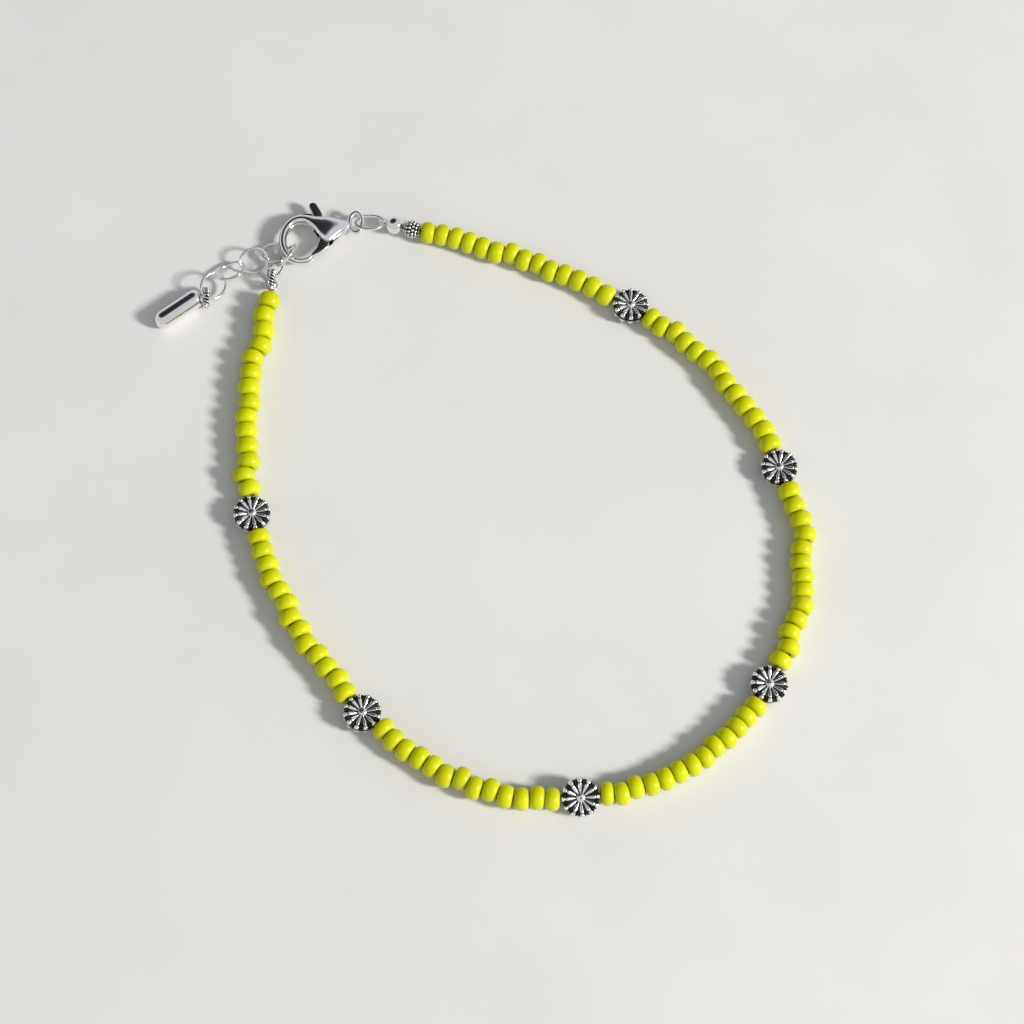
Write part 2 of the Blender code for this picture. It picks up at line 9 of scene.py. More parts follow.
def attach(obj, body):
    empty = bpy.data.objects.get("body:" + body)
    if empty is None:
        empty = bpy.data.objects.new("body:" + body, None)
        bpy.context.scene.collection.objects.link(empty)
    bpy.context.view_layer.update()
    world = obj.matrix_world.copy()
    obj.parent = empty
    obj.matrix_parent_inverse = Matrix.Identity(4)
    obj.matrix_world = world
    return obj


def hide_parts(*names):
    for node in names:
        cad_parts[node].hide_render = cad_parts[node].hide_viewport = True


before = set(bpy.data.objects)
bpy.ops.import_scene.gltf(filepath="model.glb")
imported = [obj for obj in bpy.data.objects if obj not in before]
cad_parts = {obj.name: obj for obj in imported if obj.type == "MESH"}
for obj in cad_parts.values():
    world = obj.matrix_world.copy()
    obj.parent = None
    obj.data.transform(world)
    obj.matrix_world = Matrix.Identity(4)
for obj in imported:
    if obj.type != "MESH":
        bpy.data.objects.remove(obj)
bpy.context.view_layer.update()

MM = 0.001
RNG = np.random.default_rng(11)

# The plan is in millimetres, and the frame's origin is at this point of it.
ORIGIN = (-4.329, 1.914)
BEAD_RADIUS = 1.5 * MM
BEAD_HOLE = 0.5 * MM
THREAD_RADIUS = 0.2 * MM
DAISY_REACH = 2.5 * MM

# The strand's line on the plan from the first bead to the last. "daisy" marks a daisy's centre.
ROUTE = (
    (-9.4, 40.15, "bead"), (-5.7, 38.9, "bead"),
    (-1.1, 37.45, "bead"), (3.6, 35.6, "bead"), (7.9, 33.6, "bead"), (12.6, 31.0, "bead"),
    (15.8, 29.3, "daisy"), (19.2, 27.0, "bead"), (22.9, 23.9, "bead"), (26.6, 20.4, "bead"),
    (29.3, 16.3, "bead"), (32.2, 11.7, "bead"), (34.6, 5.6, "daisy"), (36.2, 0.9, "bead"),
    (37.4, -3.2, "bead"), (36.9, -7.6, "bead"), (37.0, -12.0, "bead"), (35.3, -16.6, "bead"),
    (34.2, -20.2, "bead"), (32.1, -24.1, "daisy"), (29.4, -28.0, "bead"), (25.7, -31.9, "bead"),
    (21.0, -35.3, "bead"), (15.9, -37.6, "bead"), (8.4, -38.8, "daisy"), (3.0, -39.0, "bead"),
    (-2.0, -38.2, "bead"), (-7.2, -36.3, "bead"), (-12.3, -33.3, "bead"), (-18.6, -27.9, "daisy"),
    (-22.3, -23.0, "bead"), (-26.3, -17.9, "bead"), (-29.0, -12.4, "bead"), (-31.3, -7.6, "bead"),
    (-33.4, -0.9, "daisy"), (-34.4, 4.6, "bead"), (-34.4, 9.6, "bead"), (-34.5, 14.0, "bead"),
    (-34.4, 19.0, "bead"), (-33.1, 24.6, "bead"), (-32.45, 31.15, "end"),
)
# How far each bead sits across the line and along it, in hundredths of a millimetre.
BEAD_SHIFTS = (
    ((0, -2), (-5, -9), (0, -10), (0, -20), (-20, -24), (-36, -26), (20, -26), (-16, -28), (9, -34),
     (-32, -44), (-4, -50), (2, -40), (8, -28), (-12, -4)),
    ((-7, -20), (-24, -34), (34, -44), (-7, -43), (-12, -50), (2, -48), (5, -50), (-28, -47),
     (-5, -44), (-5, -30), (5, -22), (24, -10), (15, -2)),
    ((2, 12), (-10, 12), (-2, 26), (16, 30), (-14, 32), (-9, 28), (0, 16), (-14, 0), (20, 2),
     (15, 6), (-16, 8), (24, 2), (-20, 0)),
    ((12, -8), (-4, -6), (-3, -8), (2, -4), (-20, 2), (11, -4), (3, -2), (-7, 3), (0, 0),
     (-10, 12), (-34, 18), (8, 20), (-18, 26)),
    ((-3, 0), (-18, -10), (16, -12), (18, -14), (-20, -6), (18, -4), (-36, -16), (20, 2),
     (-10, -1), (-15, -2), (3, 8), (-9, 10), (-40, 16)),
    ((12, -4), (-16, -6), (1, 8), (-15, 2), (15, 13), (-18, 20), (28, 8), (-11, 20), (9, 10),
     (32, 12), (-3, 2), (-1, 10), (-12, 8)),
    ((-28, 2), (28, -20), (-36, -42), (-1, -38), (15, -26), (20, -36), (-20, -54), (-2, -42),
     (-4, -22), (34, -28), (-12, -52), (-6, -30), (24, -10), (-20, 2)),
)
# How far each daisy leans about the thread, in degrees.
DAISY_ROLLS = (-6.0, 2.0, -6.0, -24.0, 5.0, 5.0)

# The clasp. Its outlines are shares of its length and width, measured from its neck.
CLASP_LENGTH = 9.6 * MM
CLASP_WIDTH = 7.3 * MM
CLASP_THICKNESS = 2.35 * MM
CLASP_HEIGHT = 1.6 * MM
CLASP_HEADING = 201.5
CLASP_SECTIONS = (
    # outer x, outer y, inner x, inner y, thickness
    (-0.020, -0.085, -0.020, 0.030, 0.34),
    (0.036, -0.150, 0.046, 0.080, 0.50),
    (0.125, -0.250, 0.150, 0.165, 0.76),
    (0.219, -0.345, 0.262, 0.250, 0.94),
    (0.312, -0.416, 0.365, 0.310, 1.00),
    (0.406, -0.470, 0.424, 0.205, 0.98),
    (0.479, -0.505, 0.450, 0.010, 0.92),
    (0.552, -0.530, 0.490, -0.175, 0.84),
    (0.638, -0.542, 0.552, -0.310, 0.75),
    (0.735, -0.518, 0.655, -0.366, 0.68),
    (0.830, -0.452, 0.757, -0.322, 0.64),
    (0.915, -0.342, 0.838, -0.232, 0.61),
    (0.982, -0.195, 0.889, -0.115, 0.60),
    (1.014, -0.035, 0.912, 0.000, 0.60),
    (1.014, 0.112, 0.916, 0.118, 0.60),
    (0.980, 0.258, 0.894, 0.226, 0.59),
    (0.910, 0.374, 0.842, 0.302, 0.57),
    (0.810, 0.446, 0.768, 0.349, 0.55),
    (0.715, 0.462, 0.706, 0.350, 0.53),
    (0.640, 0.428, 0.673, 0.333, 0.52),
)
PIVOT = (0.371, 0.075)
LEVER_OUTLINE = (
    (0.338, -0.697), (0.386, -0.690), (0.412, -0.655), (0.416, -0.600), (0.410, -0.480),
    (0.398, -0.330), (0.408, -0.160), (0.428, 0.000), (0.466, 0.122), (0.536, 0.236),
    (0.656, 0.334), (0.627, 0.386), (0.520, 0.368), (0.430, 0.332), (0.372, 0.296),
    (0.330, 0.190), (0.304, 0.125), (0.296, 0.070), (0.306, -0.070), (0.292, -0.270),
    (0.272, -0.400), (0.280, -0.500), (0.292, -0.600), (0.302, -0.655),
)
SLOT_OUTLINE = (
    (0.050, -0.660), (0.430, -0.660), (0.420, -0.350), (0.438, -0.130), (0.562, -0.130),
    (0.562, 0.480), (0.350, 0.480), (0.290, 0.215), (0.262, 0.068), (0.076, -0.356),
)
HOOK_BOW = (0.9774, 0.1797)
# The pin's profile: distance along it and radius, in millimetres.
PIN_PROFILE = ((-0.95, 0.2), (-0.91, 0.28), (0.91, 0.28), (0.95, 0.2))
TAIL_RING_CENTRE = (-0.118, -0.014)
TAIL_RING_TILT = 13.0

# The clasp ring joins the tail ring to the bead tip's loop. Outside length, outside width and wire
# in millimetres.
CLASP_RING = (4.2, 3.15, 0.4)
CLASP_RING_HEADING = 3.4
CLASP_RING_REACH = 3.8 * MM
CLASP_RING_ROLL = -19.0

START_HEADING = -17.0
PIECE_GAP = 0.1 * MM
TIP_DIAMETER = 2.4 * MM
TIP_LOOP_REACH = 1.56 * MM
TIP_COLLAR = ((-1.32, 0.30), (-1.24, 0.42), (-1.14, 0.52), (-1.05, 0.56))
GRANULATED_LENGTH = 2.3 * MM
GRANULATED_CORE = 1.03 * MM
GRAIN_RADIUS = 0.21 * MM
# Rows of granules: latitude in degrees, and how many there are.
GRAIN_ROWS = ((-62, 7), (-36, 11), (-12, 13), (12, 13), (36, 11), (62, 7))

# Plan centre and height in millimetres, heading, pitch and roll in degrees, then outside length,
# outside width and wire in millimetres.
RINGS = {
    "big_ring": ((-30.35, 36.79, 1.73, 63.3, -1.8, 120.3), 3.9, 3.9, 0.46),
    "chain_link_1": ((-31.83, 37.8, 0.75, 203.2, 13.6, 7.1), 4.2, 3.5, 0.36),
    "chain_link_2": ((-34.7, 36.35, 1.2, 206.0, 2.0, -33.0), 4.2, 3.5, 0.36),
    "chain_link_3": ((-37.65, 34.7, 1.35, 213.0, 1.0, 25.0), 4.2, 3.5, 0.36),
    "chain_link_4": ((-39.9, 32.25, 1.7, 236.0, 2.0, -28.0), 4.2, 3.5, 0.36),
    "end_loop": ((-32.1, 32.35, 1.5, 97.9, -7.5, 3.7), 1.75, 1.75, 0.3),
}
# Twisted wire: place, outside length and width, wire, and how many turns the twist makes.
TWISTS = {
    "strand_rope_ring": ((-32.07, 33.36, 1.5, 86.6, 3.2, 92.0), 2.85, 2.85, 0.8, 9),
    "drop_rope_ring": ((-40.8, 30.55, 1.45, 97.0, -1.0, 102.0), 2.85, 2.85, 0.8, 9),
    "connector_link": ((-31.73, 34.72, 1.68, 51.7, 2.4, 20.7), 3.0, 1.7, 0.34, 14),
}
# The drop's eye, then its length, radius, and the eye's outside diameter and wire in millimetres.
DROP_EYE_PLACE = (-41.05, 31.5, 1.2, 38.0, -6.0, -6.0)
DROP_LENGTH = 7.3
DROP_RADIUS = 1.25
DROP_EYE = (1.75, 0.32)
DROP_COLLAR = ((3.53, 0.44), (3.63, 0.40), (3.73, 0.26), (3.79, 0.18))


def plan_point(x, y, z=0.0):
    return Vector(((x - ORIGIN[0]) * MM, (y - ORIGIN[1]) * MM, z))


def turn_z(degrees):
    return Matrix.Rotation(math.radians(degrees), 4, "Z")


def turn_toward(direction):
    """Turns the X axis to this direction's heading."""
    return Matrix.Rotation(math.atan2(direction.y, direction.x), 4, "Z")


def heading_vector(degrees):
    return Vector((math.cos(math.radians(degrees)), math.sin(math.radians(degrees)), 0))


def clasp_neck():
    """The clasp's own origin, from which its hook reaches round the big ring's wire."""
    ring = RINGS["big_ring"][0]
    bow = Vector((HOOK_BOW[0] * CLASP_LENGTH, HOOK_BOW[1] * CLASP_WIDTH, 0))
    return plan_point(ring[0], ring[1], CLASP_HEIGHT) - turn_z(CLASP_HEADING).to_3x3() @ bow


def tail_ring_place():
    centre = Vector((TAIL_RING_CENTRE[0] * CLASP_LENGTH, TAIL_RING_CENTRE[1] * CLASP_WIDTH, 0))
    return clasp_neck() + turn_z(CLASP_HEADING).to_3x3() @ centre


def strand_start():
    """Where the first bead begins: the clasp ring, the tip and the granulated bead lead to it."""
    tip_loop = tail_ring_place() + heading_vector(CLASP_RING_HEADING) * CLASP_RING_REACH
    reach = TIP_LOOP_REACH + TIP_DIAMETER / 2 + GRANULATED_LENGTH + 2 * PIECE_GAP
    start = tip_loop + heading_vector(START_HEADING) * reach
    start.z = BEAD_RADIUS
    return start


def place_matrix(place):
    x, y, z, heading, pitch, roll = place
    turn = turn_z(heading) @ Matrix.Rotation(-math.radians(pitch), 4, "Y")
    turn = turn @ Matrix.Rotation(math.radians(roll), 4, "X")
    return Matrix.Translation(plan_point(x, y, z * MM)) @ turn


class Shape:
    """Points, faces and one tone for each point, which the materials read."""

    def __init__(self):
        self.points = []
        self.faces = []
        self.tones = []

    def add(self, points, faces, tones, matrix=None):
        start = len(self.points)
        for point in points:
            self.points.append(matrix @ Vector(point) if matrix else Vector(point))
        self.faces += [tuple(start + i for i in face) for face in faces]
        self.tones += list(tones)

    def skin(self, loops, tones, closed=False, capped=True, matrix=None):
        """Skins a row of loops. tones holds one list for each loop, or one number for all."""
        count = len(loops[0])
        points = [point for loop in loops for point in loop]
        faces = []
        rows = len(loops)
        for row in range(rows if closed else rows - 1):
            after = (row + 1) % rows
            for i in range(count):
                j = (i + 1) % count
                faces.append((row * count + i, row * count + j, after * count + j, after * count + i))
        if not closed and capped:
            faces.append(tuple(reversed(range(count))))
            faces.append(tuple((rows - 1) * count + i for i in range(count)))
        if isinstance(tones, (int, float)):
            tones = [tones] * len(points)
        else:
            tones = [tone for row in tones for tone in row]
        self.add(points, faces, tones, matrix)

    def mesh(self, name, smooth_angle=50.0):
        mesh = bpy.data.meshes.new(name)
        mesh.from_pydata([tuple(p) for p in self.points], [], self.faces)
        work = bmesh.new()
        work.from_mesh(mesh)
        bmesh.ops.recalc_face_normals(work, faces=work.faces)
        work.to_mesh(mesh)
        work.free()
        tone = mesh.attributes.new("tone", "FLOAT", "POINT")
        tone.data.foreach_set("value", np.array(self.tones, np.float32))
        mesh.shade_smooth()
        mesh.set_sharp_from_angle(angle=math.radians(smooth_angle))
        return mesh


def add_piece(name, mesh, material, replaces=(), body="root"):
    piece = bpy.data.objects.new(name, mesh)
    bpy.context.scene.collection.objects.link(piece)
    mesh.materials.clear()
    mesh.materials.append(material)
    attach(piece, body)
    if replaces:
        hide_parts(*replaces)


def in_metres(pairs):
    return [(first * MM, second * MM) for first, second in pairs]


def circle(radius, sides, start=0.0):
    angles = [start + 2 * math.pi * i / sides for i in range(sides)]
    return [(radius * math.cos(a), radius * math.sin(a)) for a in angles]


def lathe_loops(profile, sides):
    return [[(along, c, s) for c, s in circle(radius, sides)] for along, radius in profile]


def oval_loops(length, width, wire, segments=72, sides=16, gap_degrees=0.0):
    """A wire bent into an oval in its local XY plane. A gap leaves it cut on its +Y side."""
    long_radius = (length - wire) / 2
    short_radius = (width - wire) / 2
    loops = []
    start = math.radians(90.0 + gap_degrees / 2)
    count = segments + (1 if gap_degrees else 0)
    for i in range(count):
        angle = start + (2 * math.pi - math.radians(gap_degrees)) * i / segments
        run, rise = math.cos(angle), math.sin(angle)
        centre = Vector((long_radius * run, short_radius * rise, 0))
        outward = Vector((short_radius * run, long_radius * rise, 0)).normalized()
        loops.append([centre + outward * c + Vector((0, 0, s)) for c, s in circle(wire / 2, sides)])
    return loops


class Route:
    """The smooth curve through the route's points, measured along its length."""

    def __init__(self):
        points = [strand_start()] + [plan_point(x, y, BEAD_RADIUS) for x, y, _ in ROUTE]
        slopes = []
        for i, point in enumerate(points):
            before, after = points[max(i - 1, 0)], points[min(i + 1, len(points) - 1)]
            near, far = (point - before).length, (after - point).length
            if near == 0 or far == 0:
                slopes.append((after - before).normalized())
            else:
                slope = (point - before) / near * far + (after - point) / far * near
                slopes.append(slope / (near + far))
        slopes[0] = heading_vector(START_HEADING)
        line = [points[0]]
        self.marks = [0]
        for i in range(len(points) - 1):
            reach = (points[i + 1] - points[i]).length
            for step in range(1, 25):
                t = step / 24
                line.append(
                    points[i] * (2 * t**3 - 3 * t**2 + 1)
                    + slopes[i] * reach * (t**3 - 2 * t**2 + t)
                    + points[i + 1] * (3 * t**2 - 2 * t**3)
                    + slopes[i + 1] * reach * (t**3 - t**2)
                )
            self.marks.append(len(line) - 1)
        self.line = np.array([tuple(point) for point in line])
        steps = np.linalg.norm(np.diff(self.line, axis=0), axis=1)
        self.lengths = np.concatenate([[0.0], np.cumsum(steps)])
        self.total = float(self.lengths[-1])

    def point(self, length):
        return Vector([float(np.interp(length, self.lengths, self.line[:, k])) for k in range(3)])

    def at(self, length):
        inside = min(max(length, 0.0), self.total)
        low, high = max(inside - 0.2 * MM, 0.0), min(inside + 0.2 * MM, self.total)
        direction = (self.point(high) - self.point(low)).normalized()
        return self.point(inside) + direction * (length - inside), direction

    def daisies(self):
        marked = zip(ROUTE, self.marks[1:])
        return [float(self.lengths[index]) for (_, _, mark), index in marked if mark == "daisy"]


# Materials. Each is built from nodes on the object's own coordinates. Colours run from the lowest
# tone to the highest.

GLASS_COLOURS = (
    (0.1, (0.47, 0.485, 0.0005)), (0.6, (0.56, 0.58, 0.0005)), (1.0, (0.63, 0.65, 0.001)),
)
POLISHED_COLOURS = (
    (0.0, (0.03, 0.03, 0.032)), (0.35, (0.42, 0.42, 0.42)), (0.75, (0.90, 0.90, 0.88)),
)
ANTIQUED_COLOURS = (
    (0.1, (0.014, 0.013, 0.012)), (0.45, (0.10, 0.10, 0.095)), (0.8, (0.92, 0.92, 0.90)),
)


def new_material(name):
    material = bpy.data.materials.new(name)
    material.use_nodes = True
    tree = material.node_tree
    tree.nodes.clear()
    output = tree.nodes.new("ShaderNodeOutputMaterial")
    shader = tree.nodes.new("ShaderNodeBsdfPrincipled")
    tree.links.new(shader.outputs["BSDF"], output.inputs["Surface"])
    return material, tree, shader


def node(tree, kind, inputs=None, **settings):
    made = tree.nodes.new(kind)
    for key, value in settings.items():
        setattr(made, key, value)
    for key, value in (inputs or {}).items():
        if isinstance(value, bpy.types.NodeSocket):
            tree.links.new(value, made.inputs[key])
        else:
            made.inputs[key].default_value = value
    return made


def ramp(tree, value, stops):
    made = tree.nodes.new("ShaderNodeValToRGB")
    tree.links.new(value, made.inputs["Fac"])
    elements = made.color_ramp.elements
    while len(elements) < len(stops):
        elements.new(0.5)
    for element, (at, colour) in zip(elements, stops):
        element.position = at
        element.color = (*colour, 1.0)
    return made.outputs["Color"]


def noise(tree, coordinates, scale, detail=4.0, rough=0.55):
    settings = {"Vector": coordinates, "Scale": scale, "Detail": detail, "Roughness": rough}
    return node(tree, "ShaderNodeTexNoise", settings).outputs["Fac"]


def bump(tree, shader, height, strength, distance):
    made = node(tree, "ShaderNodeBump", {"Height": height, "Strength": strength, "Distance": distance})
    tree.links.new(made.outputs["Normal"], shader.inputs["Normal"])


def roughen(tree, shader, value, low, high, rough_low, rough_high):
    """Links the shader's roughness to a value that is spread from one range to another."""
    made = node(tree, "ShaderNodeMapRange", {
        "Value": value, "From Min": low, "From Max": high, "To Min": rough_low, "To Max": rough_high,
    })
    tree.links.new(made.outputs["Result"], shader.inputs["Roughness"])


def maths(tree, operation, first, second):
    return node(tree, "ShaderNodeMath", {0: first, 1: second}, operation=operation).outputs[0]


def glass_material():
    """Opaque lime glass: each bead a little lighter or darker, faint streaks, soft orange peel."""
    material, tree, shader = new_material("lime_glass")
    coordinates = node(tree, "ShaderNodeTexCoord").outputs["Object"]
    tone = node(tree, "ShaderNodeAttribute", attribute_name="tone").outputs["Fac"]
    streak = noise(tree, coordinates, 900.0, 3.0)
    mixed = maths(tree, "ADD", tone, maths(tree, "MULTIPLY", streak, 0.35))
    tree.links.new(ramp(tree, mixed, GLASS_COLOURS), shader.inputs["Base Color"])
    roughen(tree, shader, noise(tree, coordinates, 2600.0, 5.0), 0.3, 0.7, 0.24, 0.38)
    bump(tree, shader, noise(tree, coordinates, 1500.0, 2.0), 0.12, 0.02 * MM)
    shader.inputs["IOR"].default_value = 1.34
    shader.inputs["Subsurface Weight"].default_value = 0.15
    shader.inputs["Subsurface Radius"].default_value = (0.9, 0.8, 0.1)
    shader.inputs["Subsurface Scale"].default_value = 0.6 * MM
    return material


def metal_material(name, stops, roughness, bump_depth, scratch_scale=1400.0):
    """Silver whose tone attribute runs from dark to light: on the antiqued pieces from patina in the
    recesses to rubbed edges, on the polished clasp down to painted shade in the crease at the dome's
    foot.
    """
    material, tree, shader = new_material(name)
    coordinates = node(tree, "ShaderNodeTexCoord").outputs["Object"]
    tone = node(tree, "ShaderNodeAttribute", attribute_name="tone").outputs["Fac"]
    patches = noise(tree, coordinates, scratch_scale, 6.0, 0.62)
    lift = maths(tree, "MULTIPLY", maths(tree, "SUBTRACT", patches, 0.5), 0.3)
    # The tone with wear patches added, and on the polished clasp the painted crease shade too.
    wear_and_painted_shade = maths(tree, "ADD", tone, lift)
    tree.links.new(ramp(tree, wear_and_painted_shade, stops), shader.inputs["Base Color"])
    low, high = roughness
    roughen(tree, shader, wear_and_painted_shade, 0.1, 0.9, high, low)
    bump(tree, shader, noise(tree, coordinates, scratch_scale * 2.2, 3.0), 0.25, bump_depth)
    shader.inputs["Metallic"].default_value = 1.0
    return material


def thread_material():
    material, tree, shader = new_material("thread")
    coordinates = node(tree, "ShaderNodeTexCoord").outputs["Object"]
    twist = node(tree, "ShaderNodeTexWave", {"Vector": coordinates, "Scale": 900.0, "Distortion": 2.0})
    colour = ramp(tree, twist.outputs["Fac"], ((0.2, (0.05, 0.06, 0.02)), (0.8, (0.20, 0.22, 0.08))))
    tree.links.new(colour, shader.inputs["Base Color"])
    shader.inputs["Roughness"].default_value = 0.6
    return material


GLASS = glass_material()
POLISHED = metal_material("polished_silver", POLISHED_COLOURS, (0.08, 0.3), 0.008 * MM)
ANTIQUED = metal_material("antiqued_silver", ANTIQUED_COLOURS, (0.22, 0.55), 0.015 * MM, 2400.0)
THREAD = thread_material()


# The strand.


def bead_profile(radius, length):
    """Rounded outer side from one hole edge to the other, then back through the hole."""
    rows = []
    steps = 15
    for i in range(steps):
        t = math.pi * i / (steps - 1)
        along = -math.copysign(abs(math.cos(t)) ** 0.94, math.cos(t)) * length / 2
        rise = math.sin(t) ** 0.68
        if i in (0, steps - 1):
            along *= 0.93
        rows.append((along, BEAD_HOLE + (radius - BEAD_HOLE) * rise))
    rows.append((length * 0.3, BEAD_HOLE * 0.92))
    rows.append((-length * 0.3, BEAD_HOLE * 0.92))
    return rows


def build_run(route, number, start, end):
    shifts = BEAD_SHIFTS[number - 1]
    count = len(shifts)
    pitch = (end - start) / count
    lengths = [start + pitch * (i + 0.5) + along * 0.01 * MM for i, (_, along) in enumerate(shifts)]
    edges = [start] + [(a + b) / 2 for a, b in zip(lengths, lengths[1:])] + [end]
    spots = []
    for i, (across, _) in enumerate(shifts):
        length = (edges[i] + edges[i + 1]) / 2
        centre, direction = route.at(length)
        side = Vector((-direction.y, direction.x, 0))
        spots.append((length, centre + side * across * 0.01 * MM, direction))
    shape = Shape()
    middles = []
    for i, (length, centre, direction) in enumerate(spots):
        bead_length = min(edges[i + 1] - edges[i], 2.4 * MM) * 0.985
        radius = BEAD_RADIUS * (1 + float(RNG.uniform(-0.022, 0.004)))
        before = spots[max(i - 1, 0)][1]
        after = spots[min(i + 1, count - 1)][1]
        axis = (direction * 0.55 + (after - before).normalized() * 0.45).normalized()
        turn = turn_toward(axis) @ turn_z(float(RNG.normal(0, 1.8)))
        turn = turn @ Matrix.Rotation(math.radians(float(RNG.normal(0, 1.6))), 4, "Y")
        centre = Vector((centre.x, centre.y, radius + 0.01 * MM))
        middles.append(centre)
        loops = lathe_loops(bead_profile(radius, bead_length), 32)
        tone = 0.42 + float(RNG.uniform(-0.16, 0.16))
        shape.skin(loops, tone, closed=True, matrix=Matrix.Translation(centre) @ turn)
    name = f"run_{number}_beads"
    add_piece(name, shape.mesh(name, 60.0), GLASS, [f"bead_run_{number}"])
    return middles


def tube_loops(points, radius, sides):
    loops = []
    for i, point in enumerate(points):
        before, after = points[max(i - 1, 0)], points[min(i + 1, len(points) - 1)]
        direction = (after - before).normalized()
        side = Vector((-direction.y, direction.x, 0)).normalized()
        up = direction.cross(side)
        loops.append([point + side * c + up * s for c, s in circle(radius, sides)])
    return loops


def build_strand(route):
    centres = route.daisies()
    starts = [0.0] + [centre + DAISY_REACH for centre in centres]
    ends = [centre - DAISY_REACH for centre in centres] + [route.total]
    line = [route.at(-5.0 * MM)[0], route.at(-1.0 * MM)[0]]
    for i in range(len(BEAD_SHIFTS)):
        line += build_run(route, i + 1, starts[i], ends[i])
        if i < len(centres):
            line.append(route.at(centres[i])[0])
    line.append(route.at(route.total + 0.1 * MM)[0])
    shape = Shape()
    shape.skin(tube_loops(line, THREAD_RADIUS, 10), 0.5)
    add_piece("thread", shape.mesh("thread"), THREAD)


# A daisy's radius, the notch between two petals, and the radius and half thickness that it rests on
# when it leans, in millimetres.
DAISY_RADIUS = 2.4
DAISY_NOTCH = 0.2
DAISY_REST_RADIUS = 2.232
DAISY_REST_HALF = 0.8
PETALS = 12
PETAL_HALF = math.pi / PETALS
# A petal's half width, and the heights of petals and troughs, at these distances from the centre.
PETAL_WIDTHS = ((0.6, 1.0, 1.5, 1.85, 2.0, 2.2, 2.4), (0.05, 0.14, 0.23, 0.20, 0.17, 0.26, 0.24))
FACE_REACHES = (0.54, 0.70, 1.1, 1.6, 1.9, 2.2, 2.4)
CREST_HEIGHTS = (0.50, 0.58, 0.70, 0.84, 0.88, 0.86, 0.74)
TROUGH_HEIGHTS = (0.48, 0.46, 0.50, 0.58, 0.62, 0.60, 0.52)


def smooth_step(low, high, value):
    share = min(1.0, max(0.0, (value - low) / (high - low)))
    return share * share * (3 - 2 * share)


def daisy_face(r, off, edge):
    """Height of a daisy's face in millimetres and its tone, at this radius. off runs from 0 on a
    petal's middle to 1 half way to the next, edge is the distance in from the rim."""
    if r < 0.54:
        dome = math.sqrt(max(0.0, 1 - (r / 0.6) ** 2))
        return 0.66 + 0.27 * dome, 0.95 - 0.7 * math.exp(-((r / 0.14) ** 2))
    side = off * r * PETAL_HALF
    width = float(np.interp(r, *PETAL_WIDTHS))
    petal = smooth_step(width + 0.09, width - 0.04, side)
    wall = math.exp(-((r * PETAL_HALF - side) / 0.045) ** 2)
    wall *= smooth_step(0.9, 1.2, r) * smooth_step(2.25, 2.0, r)
    waist = math.exp(-(((edge - 0.50) / 0.07) ** 2))
    pit = math.exp(-(((edge - 0.25) / 0.07) ** 2) - (side / 0.07) ** 2)
    crest = float(np.interp(r, FACE_REACHES, CREST_HEIGHTS))
    trough = float(np.interp(r, FACE_REACHES, TROUGH_HEIGHTS))
    height = trough + (crest - trough) * petal + 0.20 * wall * (1 - petal)
    height -= 0.10 * waist * petal + 0.12 * pit + 0.10 * (side / 0.25) ** 2 * petal
    height -= 0.14 * smooth_step(0.12, 0.0, edge)
    tone = 0.08 + 0.9 * petal * (1 - 0.75 * waist) - 0.6 * pit + 0.55 * wall * (1 - petal)
    return height, tone


def daisy_shape(shape, matrix):
    columns = PETALS * 14
    shares = [0.0] + list(np.linspace(0.03, 0.80, 26)) + list(np.linspace(0.82, 1.0, 14))
    loops = []
    tones = []

    def row(share, side, flat=None, inset=0.0, tone_set=None):
        loop = []
        row_tones = []
        for column in range(columns):
            angle = 2 * math.pi * column / columns
            phase = (angle / (2 * math.pi) * PETALS + 0.5) % 1.0
            off = abs(2 * phase - 1)
            rim = DAISY_RADIUS - DAISY_NOTCH * off**2.4 - inset
            r = share * rim
            height, tone = daisy_face(r, off, rim - r)
            if flat is not None:
                height = flat
            loop.append((r * math.cos(angle) * MM, r * math.sin(angle) * MM, side * height * MM))
            row_tones.append(tone if tone_set is None else tone_set - 0.5 * off**3)
        loops.append(loop)
        tones.append(row_tones)

    for share in shares:
        row(max(share, 0.003), 1)
    row(1.0, 1, flat=0.38, tone_set=0.9)
    row(1.0, 1, flat=0.24, inset=0.05, tone_set=0.6)
    row(1.0, 1, flat=0.10, inset=0.24, tone_set=0.1)
    row(1.0, -1, flat=0.10, inset=0.24, tone_set=0.1)
    row(1.0, -1, flat=0.24, inset=0.05, tone_set=0.6)
    row(1.0, -1, flat=0.38, tone_set=0.9)
    for share in reversed(shares):
        row(max(share, 0.003), -1)
    shape.skin(loops, tones, matrix=matrix)


def build_daisies(route):
    for i, centre in enumerate(route.daisies()):
        place, direction = route.at(centre)
        roll = math.radians(DAISY_ROLLS[i])
        lift = DAISY_REST_RADIUS * abs(math.sin(roll)) + DAISY_REST_HALF * math.cos(roll) + 0.02
        place.z = max(place.z, lift * MM)
        turn = turn_toward(direction) @ Matrix.Rotation(roll, 4, "X")
        shape = Shape()
        daisy_shape(shape, Matrix.Translation(place) @ turn)
        name = f"daisy_{i + 1}"
        add_piece(name + "_cast", shape.mesh(name + "_cast", 70.0), ANTIQUED, [name])


def ball_loops(diameter, length, steps, sides):
    rows = []
    for i in range(steps + 1):
        angle = math.pi * i / steps
        rows.append((-length / 2 * math.cos(angle), max(diameter / 2 * math.sin(angle), 0.004 * MM)))
    return lathe_loops(rows, sides)


